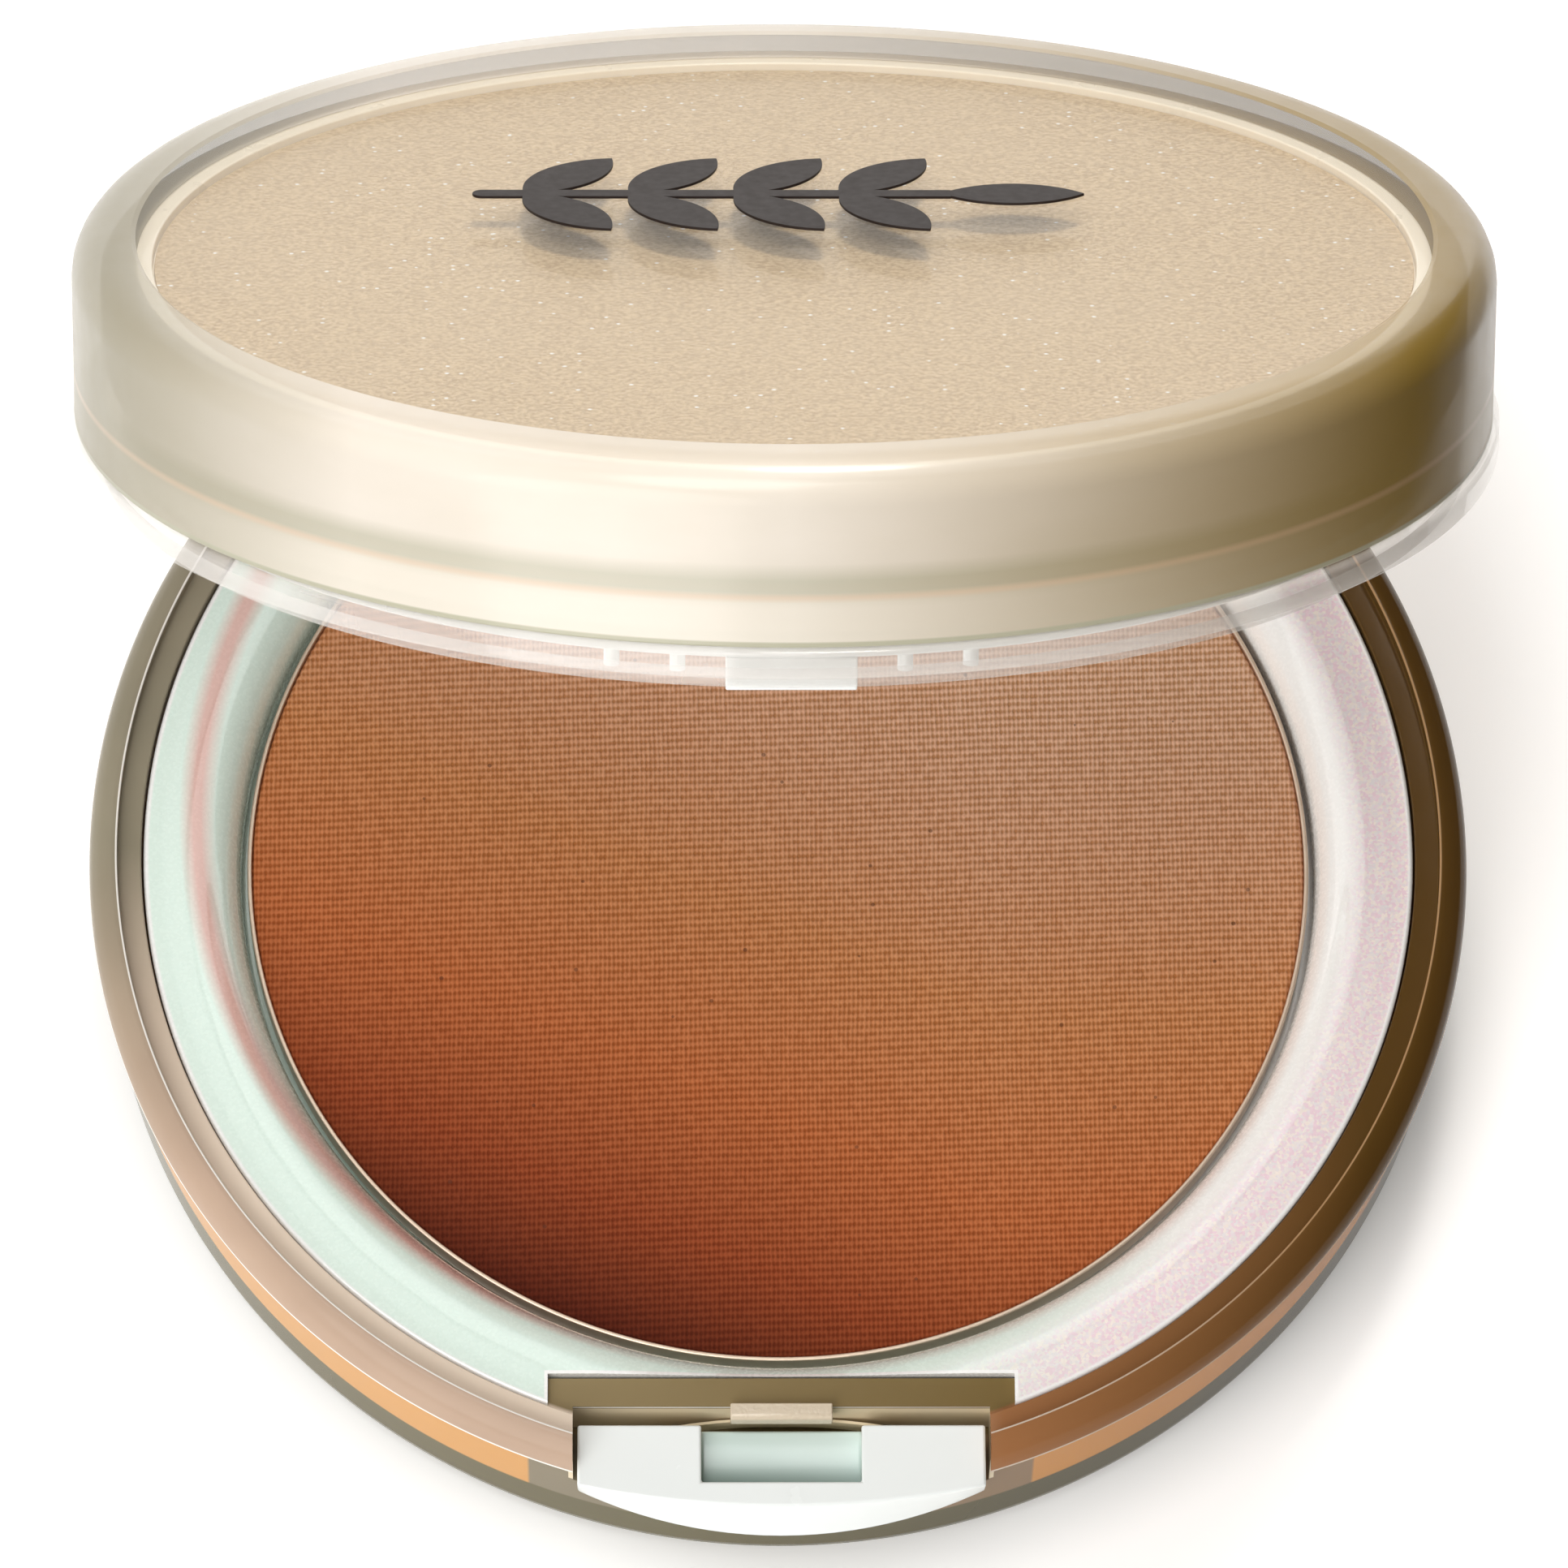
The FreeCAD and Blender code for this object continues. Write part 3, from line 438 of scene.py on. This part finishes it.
def powder():
    """Pressed powder: warm bronze, matt, with the imprint of a woven cloth. Painted shade darkens it towards
    the front and the left and in the weave's hollows, and painted light lifts its raised threads.
    """
    warp_pitch = 0.25 * MM
    weft_pitch = 0.43 * MM
    nodes = Nodes("pressed powder", (0.46, 0.21, 0.11), 0.9, Specular_IOR_Level=0.2)
    x, y, _, _ = nodes.axes()
    wobble = nodes.times(nodes.noise(55, detail=3), 0.6 * MM)
    across = nodes.plus(x, wobble)
    along = nodes.plus(nodes.plus(y, nodes.times(x, -0.05)), wobble)
    warp = nodes.math("SINE", nodes.times(across, 2 * math.pi / warp_pitch))
    weft = nodes.math("SINE", nodes.times(along, 2 * math.pi / weft_pitch))
    threads = nodes.noise(2600, detail=2, stretch=(1.6, 1, 1))
    weave = nodes.plus(nodes.times(weft, 0.5), nodes.times(warp, 0.4))
    weave = nodes.plus(weave, nodes.times(nodes.minus(threads, 0.5), 1.6))
    raised = nodes.spread(weave, 0.0, 1.0, -0.6, 0.5)
    # Painted shade: the powder darkens towards the front and the left, through these colour steps.
    tone = nodes.plus(nodes.times(nodes.rise(y, -30, 12), 0.68), nodes.times(nodes.rise(x, -30, 12), 0.32))
    shades = ((0.20, (0.09, 0.013, 0.004)), (0.32, (0.25, 0.050, 0.014)), (0.47, (0.42, 0.12, 0.037)),
              (0.66, (0.52, 0.21, 0.08)), (0.84, (0.62, 0.32, 0.18)), (1.0, (0.68, 0.40, 0.25)))
    # Painted light and shade on the weave: colour on its raised threads is lifted, colour in its hollows
    # darkened and reddened.
    painted_lit_crest, painted_shade_valley = (
        nodes.ramp(tone, *((place, (red * more_red, green * more_green, blue * more_blue))
                           for place, (red, green, blue) in shades))
        for more_red, more_green, more_blue in ((1.25, 1.35, 1.5), (0.75, 0.62, 0.45)))
    fleck = nodes.math("LESS_THAN", nodes.cells(420).outputs["Distance"], 0.05)
    cloth = nodes.mix(raised, painted_shade_valley, painted_lit_crest)
    nodes.color(nodes.mix(nodes.times(fleck, 0.6), cloth, (0.10, 0.03, 0.015)))
    nodes.bump(weave, 0.5, 0.06 * MM)
    return nodes.material


def pan_metal():
    nodes = Nodes("pan metal", (0.70, 0.56, 0.44), 0.32, Metallic=0.85)
    nodes.rough(nodes.spread(nodes.noise(900, stretch=(1, 1, 20)), 0.22, 0.42))
    return nodes.material


def dark_print():
    nodes = Nodes("dark print", (0.022, 0.014, 0.012), 0.5, Specular_IOR_Level=0.25)
    nodes.rough(nodes.spread(nodes.noise(1800), 0.42, 0.6))
    nodes.bump(nodes.noise(2400), 0.05, 0.01 * MM)
    return nodes.material


def steel():
    nodes = Nodes("pin steel", (0.62, 0.61, 0.6), 0.25, Metallic=1.0)
    nodes.rough(nodes.spread(nodes.noise(900, stretch=(12, 1, 1)), 0.18, 0.36))
    return nodes.material


def mirror_silver():
    nodes = Nodes("mirror silver", (0.93, 0.94, 0.94), 0.01, Metallic=1.0)
    nodes.rough(nodes.spread(nodes.noise(120, detail=5), 0.0, 0.03))
    return nodes.material


def paper():
    nodes = Nodes("label paper", (0.86, 0.86, 0.84), 0.6)
    nodes.bump(nodes.noise(3000, detail=4), 0.2, 0.02 * MM)
    return nodes.material


def floor_white():
    nodes = Nodes("studio floor", (0.94, 0.94, 0.94), 0.7)
    nodes.rough(nodes.spread(nodes.noise(20), 0.65, 0.75))
    nodes.set("Emission Color", (1.0, 1.0, 1.0, 1.0))
    nodes.set("Emission Strength", 0.22)
    return nodes.material


# ---------------------------------------------------------------- shapes, in millimetres

# Steps in a profile's rounding, and how near to the axis a point counts as on it.
ROUND_STEPS = 6
ON_AXIS = 1e-6
# How a CAD node's mesh is cleaned, in metres, and which edges are softened and which stay sharp.
MERGE_DISTANCE = 2e-6
FLAT_ANGLE = math.radians(0.1)
BEVEL_ANGLE = math.radians(28)
SHARP_ANGLE = math.radians(40)
# Reaches of a cutting tool that pass the whole base, outwards and upwards.
BEYOND = 40
ABOVE_ALL = 20
# Where the mirror frame's pips stand, in X.
PIPS = (-9.0, -5.7, 5.7, 9.0)


def softened(corners):
    """Profile points from corners (radius, height, rounding), each corner replaced by an arc."""
    points = []
    count = len(corners)
    for index, (radius, height, rounding) in enumerate(corners):
        here = Vector((radius, height))
        if rounding == 0:
            points.append(here)
            continue
        before = Vector(corners[index - 1][:2]) - here
        after = Vector(corners[(index + 1) % count][:2]) - here
        opening = before.angle(after)
        reach = rounding / math.tan(opening / 2)
        inwards = (before.normalized() + after.normalized()).normalized()
        middle = here + inwards * (rounding / math.sin(opening / 2))
        first = here + before.normalized() * reach - middle
        last = here + after.normalized() * reach - middle
        turn = first.angle_signed(last)
        for step in range(ROUND_STEPS + 1):
            points.append(middle + Matrix.Rotation(-turn * step / ROUND_STEPS, 2) @ first)
    return points


def bulge(start, end, radius, steps=14):
    """Corners along an arc between two corners, bending away from the axis."""
    start, end = Vector(start), Vector(end)
    chord = end - start
    inwards = Vector((-chord.y, chord.x)).normalized()
    middle = (start + end) / 2 + inwards * math.sqrt(radius ** 2 - (chord.length / 2) ** 2)
    first = start - middle
    turn = first.angle_signed(end - middle)
    arc = [middle + Matrix.Rotation(-turn * step / steps, 2) @ first for step in range(steps + 1)]
    return [(point.x, point.y, 0) for point in arc]


def lathe(name, corners, segments=320):
    """A body of revolution about Z. The profile closes on itself, or on the axis."""
    profile = softened(corners)
    angles = [2 * math.pi * step / segments for step in range(segments)]
    work = bmesh.new()
    rings = []
    for point in profile:
        reach = point.x * MM
        height = point.y * MM
        if point.x < ON_AXIS:
            rings.append([work.verts.new((0, 0, height))])
            continue
        rings.append([work.verts.new((reach * math.cos(angle), reach * math.sin(angle), height))
                      for angle in angles])
    for index, ring in enumerate(rings):
        following = rings[(index + 1) % len(rings)]
        if len(ring) == 1 and len(following) == 1:
            continue
        for step in range(segments):
            after = (step + 1) % segments
            corners_here = [ring[step % len(ring)], ring[after % len(ring)],
                            following[after % len(following)], following[step % len(following)]]
            work.faces.new(list(dict.fromkeys(corners_here)))
    bmesh.ops.recalc_face_normals(work, faces=work.faces)
    return finished(name, work)


def finished(name, work):
    mesh = bpy.data.meshes.new(name)
    work.to_mesh(mesh)
    work.free()
    piece = bpy.data.objects.new(name, mesh)
    bpy.context.collection.objects.link(piece)
    return piece


def prism(name, outline, low, high, axis="Z"):
    """A straight prism: an outline raised along Z, or an outline in Y and Z swept along X."""
    def place(first, second, along):
        return (first * MM, second * MM, along * MM) if axis == "Z" else (along * MM, first * MM, second * MM)
    work = bmesh.new()
    ends = [[work.verts.new(place(x, y, along)) for x, y in outline] for along in (low, high)]
    work.faces.new(ends[0])
    work.faces.new(ends[1])
    for index in range(len(outline)):
        after = (index + 1) % len(outline)
        work.faces.new((ends[0][index], ends[0][after], ends[1][after], ends[1][index]))
    bmesh.ops.recalc_face_normals(work, faces=work.faces)
    return finished(name, work)


def box(x_low, x_high, y_low, y_high, z_low, z_high):
    outline = ((x_low, y_low), (x_high, y_low), (x_high, y_high), (x_low, y_high))
    return prism("box", outline, z_low, z_high)


def circle(x, y, radius, sides):
    turns = [2 * math.pi * step / sides for step in range(sides)]
    return [(x + radius * math.cos(turn), y + radius * math.sin(turn)) for turn in turns]


def rod(radius, x_low, x_high, height):
    """A rod along X on the hinge's axis, for a knuckle or the room round one."""
    return prism("rod", circle(HINGE_Y, height, radius, 48), x_low, x_high, "X")


def both_sides(start, end):
    """A stretch of X on each side of the middle."""
    return (-end, -start), (start, end)


def front_cut(piece, half_width, back, low=0):
    """Cut a piece open at its front, from a back wall outwards."""
    joined(piece, box(-half_width, half_width, -BEYOND, back, low, ABOVE_ALL), "DIFFERENCE")


def joined(piece, tool, operation):
    """Union, difference or intersection of the piece with a tool, which is used up."""
    change = piece.modifiers.new("join", "BOOLEAN")
    change.operation = operation
    change.solver = "EXACT"
    change.object = tool
    evaluated = piece.evaluated_get(bpy.context.evaluated_depsgraph_get())
    mesh = bpy.data.meshes.new_from_object(evaluated)
    piece.modifiers.remove(change)
    old = piece.data
    piece.data = mesh
    bpy.data.meshes.remove(old)
    spent = tool.data
    bpy.data.objects.remove(tool)
    bpy.data.meshes.remove(spent)


def dress(piece, node, body, *materials, edge=0.0, zone=None, drawn_shut=True):
    """Give a piece its materials, soft edges and place, and let it stand for its CAD node. A piece
    of the lid that is drawn shut has its mesh turned to the open place."""
    for material in materials:
        piece.data.materials.append(material)
    if zone is not None:
        for polygon in piece.data.polygons:
            polygon.material_index = zone(polygon.center / MM)
    if edge:
        bevel = piece.modifiers.new("edges", "BEVEL")
        bevel.width = edge * MM
        bevel.segments = 3
        bevel.limit_method = "ANGLE"
        bevel.angle_limit = BEVEL_ANGLE
        bevel.use_clamp_overlap = True
    for polygon in piece.data.polygons:
        polygon.use_smooth = True
    piece.data.set_sharp_from_angle(angle=SHARP_ANGLE)
    weighted = piece.modifiers.new("normals", "WEIGHTED_NORMAL")
    weighted.keep_sharp = True
    if body == "lid" and drawn_shut:
        piece.data.transform(LID_TURN)
    piece.name = node + "_shape"
    bpy.context.view_layer.update()
    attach(piece, body)
    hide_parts(node)


def refined(node, body, *materials, edge=0.1):
    """A copy of a CAD node with its sharp edges softly rounded."""
    mesh = frame["nodes"][node].data.copy()
    mesh.materials.clear()
    work = bmesh.new()
    work.from_mesh(mesh)
    bmesh.ops.remove_doubles(work, verts=work.verts, dist=MERGE_DISTANCE)
    bmesh.ops.dissolve_limit(work, angle_limit=FLAT_ANGLE, verts=work.verts, edges=work.edges)
    work.to_mesh(mesh)
    work.free()
    piece = bpy.data.objects.new(node, mesh)
    bpy.context.collection.objects.link(piece)
    dress(piece, node, body, *materials, edge=edge, drawn_shut=False)


# ---------------------------------------------------------------- pieces

def base_pieces():
    shell = lathe("base_shell", (
        (0, LABEL_THICKNESS, 0), (LABEL_RADIUS + 0.1, LABEL_THICKNESS, 0), (LABEL_RADIUS + 0.1, 0, 0.06),
        (37.3, 0, 2.5), (37.3, 11.05, 0.05),
        *bulge((38.0, 11.05), (36.65, 12.8), 1.95),
        (36.4, 12.8, 0.06), (36.4, 11.95, 0.1), (BASE_BORE, 11.95, 0.1), (BASE_BORE, TRAY_LEDGE, 0.1),
        (33.6, TRAY_LEDGE, 0.1),
        (33.6, 1.6, 0.3), (0, 1.6, 0)), 384)
    block = ((-13, -31), (-13, -33.6), (0, -35), (13, -33.6), (13, -31))
    joined(shell, prism("block", block, 1.4, 11.3), "UNION")
    front_cut(shell, POCKET_HALF, POCKET_BACK, 7.9)
    for low, high in both_sides(6.3, 11):
        joined(shell, box(low, high, 35.6, HINGE_Y, 10.9, 11.9), "UNION")
        joined(shell, rod(KNUCKLE_RADIUS, low, high, HINGE_Z), "UNION")
    joined(shell, rod(KNUCKLE_ROOM, -6.15, 6.15, HINGE_Z), "DIFFERENCE")
    dress(shell, "base_shell", "base", smoky_plastic(), edge=0.06)
    tray = lathe("inner_tray", (
        (0, TRAY_LEDGE, 0), (TRAY_RADIUS, TRAY_LEDGE, 0.3), (TRAY_RADIUS, 10.55, 0.1), (34, 10.55, 0.1),
        (34, 6.8, 0.3), (0, 6.8, 0)))
    front_cut(tray, 13.2, -30.9)
    dress(tray, "inner_tray", "base", amber_plastic())
    deck = lathe("deck_tray", (
        (0, 6.9, 0), (30.9, 6.9, 0.3), (30.9, 10.6, 0.3), (TRAY_RADIUS, 10.6, 0.1), (TRAY_RADIUS, 11.7, 0.22),
        (29.7, 11.7, 2.7), (29.7, 7.75, 0.2), (0, 7.75, 0)))
    front_cut(deck, NOTCH_HALF, NOTCH_BACK)
    dress(deck, "deck_tray", "base", pearl_plastic(), edge=0.14)
    dress(lathe("pan", (
        (0, 7.9, 0), (29.35, 7.9, 0.5), (29.35, 9.6, 0.08), (PAN_INSIDE, 9.6, 0.08),
        (PAN_INSIDE, PAN_FLOOR, 0.1), (0, PAN_FLOOR, 0))),
        "pan", "base", pan_metal())
    dress(lathe("powder", (
        (0, PAN_FLOOR, 0), (PAN_INSIDE, PAN_FLOOR, 0), (PAN_INSIDE, 9.4, 0.25), (0, 9.4, 0))),
        "powder_cake", "base", powder())
    dress(lathe("label", (
        (0, 0, 0), (LABEL_RADIUS, 0, 0.03), (LABEL_RADIUS, LABEL_THICKNESS, 0.03), (0, LABEL_THICKNESS, 0))),
        "bottom_label", "base", paper())


def lid_pieces():
    clear = clear_plastic()
    white = white_plastic()
    shell = lathe("lid_shell", (
        (LID_BORE, 1.75, 0.1), (37.5, 1.75, 0.12), (37.5, 11.4, 2.2), (34.35, 11.4, 0.1),
        (WINDOW_RADIUS, 11.25, 0.05), (0, 11.25, 0), (0, 9.95, 0), (WINDOW_RADIUS, 9.95, 0),
        (LID_BORE, 9.95, 0.8)), 384)
    dress(shell, "lid_shell", "lid", frosted_plastic(), window_plastic(),
          zone=lambda centre: int(math.hypot(centre.x, centre.y) < WINDOW_RADIUS + 0.02))
    dress(lathe("lid_liner", (
        (34.9, 4.5, 0.1), (35.8, 4.5, 0.1), (35.8, 9.9, 0.7), (33.25, 9.9, 0.12),
        (33.25, DISC_UNDERSIDE, 0.05), (0, DISC_UNDERSIDE, 0), (0, 8.5, 0), (34.9, 8.5, 0.3))),
        "lid_liner", "lid", cream_plastic())
    rim = lathe("lid_frame", (
        (35.2, -0.9, 0.1), (36.15, -0.9, 0.15), (36.15, 0.2, 0.05), (37.9, 0.2, 0.2), (37.9, 1.7, 0.3),
        (35.9, 1.7, 0.1), (35.9, 4.2, 0.1), (35.2, 4.2, 0.1)))
    for low, high in both_sides(6.15, 11.3):
        joined(rim, rod(KNUCKLE_ROOM, low, high, 0), "DIFFERENCE")
    joined(rim, box(-6, 6, 35.9, HINGE_Y, 0.25, 1.65), "UNION")
    joined(rim, rod(KNUCKLE_RADIUS, -6, 6, 0), "UNION")
    dress(rim, "lid_frame", "lid", clear, edge=0.05)
    dress(lathe("disc", (
        (0, DISC_UNDERSIDE, 0), (33.15, DISC_UNDERSIDE, 0.05), (33.15, 9.5, 0.05), (0, 9.5, 0))),
        "decor_disc", "lid", champagne())
    dress(lathe("mirror", ((0, 0.8, 0), (32.4, 0.8, 0.3), (32.4, 2.15, 0.1), (0, 2.15, 0))),
          "mirror", "lid", mirror_silver())
    bezel = lathe("mirror_frame", (
        (0, 2.3, 0), (32.6, 2.3, 0.1), (32.6, 0.3, 0.15), (35.1, 0.3, 0.15), (35.1, 4.3, 0.1),
        (34, 4.3, 0.1), (34, 3.3, 0.2), (0, 3.3, 0)))
    pip_ring = 34.6
    pip_radius = 0.4
    for across in PIPS:
        front = -math.sqrt(pip_ring ** 2 - across ** 2)
        joined(bezel, prism("pip", circle(across, front, pip_radius, 24), -0.6, 0.5), "UNION")
    dress(bezel, "mirror_frame", "lid", white, edge=0.04)
    refined("latch_tab", "lid", white, edge=0.1)
    refined("emblem", "lid", dark_print(), edge=0.03)


def build():
    base_pieces()
    lid_pieces()
    refined("catch_insert", "base", catch_plastic(), edge=0.08)
    refined("hinge_pin", "base", steel())
    refined("push_button", "button", button_plastic(), edge=0.15)
    for node, material in (("pan_adhesive", paper()), ("mirror_tape", paper()),
                           ("button_spring", smoky_plastic())):
        frame["nodes"][node].data.materials.clear()
        frame["nodes"][node].data.materials.append(material)


# ---------------------------------------------------------------- studio

def area_light(name, place, aim, size, power, color=(1, 1, 1)):
    data = bpy.data.lights.new(name, "AREA")
    data.shape = "DISK"
    data.size = size
    data.energy = power
    data.color = color
    lamp = bpy.data.objects.new(name, data)
    lamp.location = place
    lamp.rotation_euler = (Vector(aim) - Vector(place)).to_track_quat("-Z", "Y").to_euler()
    bpy.context.collection.objects.link(lamp)
    return lamp


def flag(name, x, length, height):
    """A dark card beside the compact, out of the camera's sight, that darkens one side of it."""
    lift = 1 * MM
    corners = [(x, y, z) for y, z in ((-length / 2, lift), (length / 2, lift), (length / 2, height),
                                      (-length / 2, height))]
    mesh = bpy.data.meshes.new(name)
    mesh.from_pydata(corners, [], [(0, 1, 2, 3)])
    mesh.materials.append(Nodes("black card", (0.07, 0.05, 0.025), 0.9).material)
    card = bpy.data.objects.new(name, mesh)
    card.visible_camera = False
    bpy.context.collection.objects.link(card)
    return card


def unshaded_by(lamp, card):
    """Leave a card out of the things that throw shadows in a lamp's light."""
    left_out = bpy.data.collections.new(lamp.name + " passes")
    left_out.objects.link(card)
    lamp.light_linking.blocker_collection = left_out
    left_out.collection_objects[0].light_linking.link_state = "EXCLUDE"


def studio():
    """Pale surroundings that are brighter on the left, three soft lamps, a dark card on the right
    and the floor."""
    world = bpy.data.worlds.new("studio")
    bpy.context.scene.world = world
    world.use_nodes = True
    tree = world.node_tree
    background = tree.nodes["Background"]
    direction = tree.nodes.new("ShaderNodeTexCoord")
    split = tree.nodes.new("ShaderNodeSeparateXYZ")
    tree.links.new(direction.outputs["Generated"], split.inputs[0])
    side = tree.nodes.new("ShaderNodeMapRange")
    side.interpolation_type = "SMOOTHSTEP"
    for name, value in (("From Min", -0.9), ("From Max", 0.9), ("To Min", 0.44), ("To Max", 0.18)):
        side.inputs[name].default_value = value
    tree.links.new(split.outputs["X"], side.inputs["Value"])
    tree.links.new(side.outputs["Result"], background.inputs["Strength"])
    background.inputs["Color"].default_value = (1.0, 0.99, 0.975, 1.0)
    lamps = [area_light("key", (-0.28, -0.42, 0.36), (0, 0, 0.02), 0.50, 2.2, (1.0, 0.985, 0.96)),
             area_light("top", (0.05, 0.36, 0.58), (0, 0.01, 0.03), 0.16, 2.0, (1.0, 0.97, 0.92)),
             area_light("over", (-0.10, -0.06, 0.62), (0, -0.01, 0.01), 0.30, 1.3, (1.0, 0.99, 0.98))]
    card = flag("right flag", 0.075, 0.20, 0.16)
    for lamp in lamps:
        unshaded_by(lamp, card)
    mesh = bpy.data.meshes.new("floor")
    reach = 3.0
    sink = 0.05 * MM
    corners = [(x, y, -sink) for x, y in ((-reach, -reach), (reach, -reach), (reach, reach), (-reach, reach))]
    mesh.from_pydata(corners, [], [(0, 1, 2, 3)])
    mesh.materials.append(floor_white())
    floor = bpy.data.objects.new("floor", mesh)
    bpy.context.collection.objects.link(floor)


def camera():
    """The photograph's view: from the front and high up, a little from the left, through a long
    lens, with the hinge level in the picture."""
    aim = Vector((0.00028, 0.0026, 0.0146))
    elevation = math.radians(66.28)
    azimuth = 0.0308
    distance = 0.58
    away = Vector((-math.sin(azimuth) * math.cos(elevation), -math.cos(azimuth) * math.cos(elevation),
                   math.sin(elevation)))
    level = Vector((1, 0, 0))
    right = (level - away * level.dot(away)).normalized()
    turn = Matrix((right, away.cross(right), away)).transposed()
    data = bpy.data.cameras.new("camera")
    data.lens = 242.2
    data.sensor_width = 36.0
    viewer = bpy.data.objects.new("camera", data)
    viewer.matrix_world = Matrix.Translation(aim + distance * away) @ turn.to_4x4()
    bpy.context.collection.objects.link(viewer)
    bpy.context.scene.camera = viewer


camera()
build()
studio()
bpy.context.scene.view_settings.view_transform = "Standard"

bpy.context.view_layer.update()
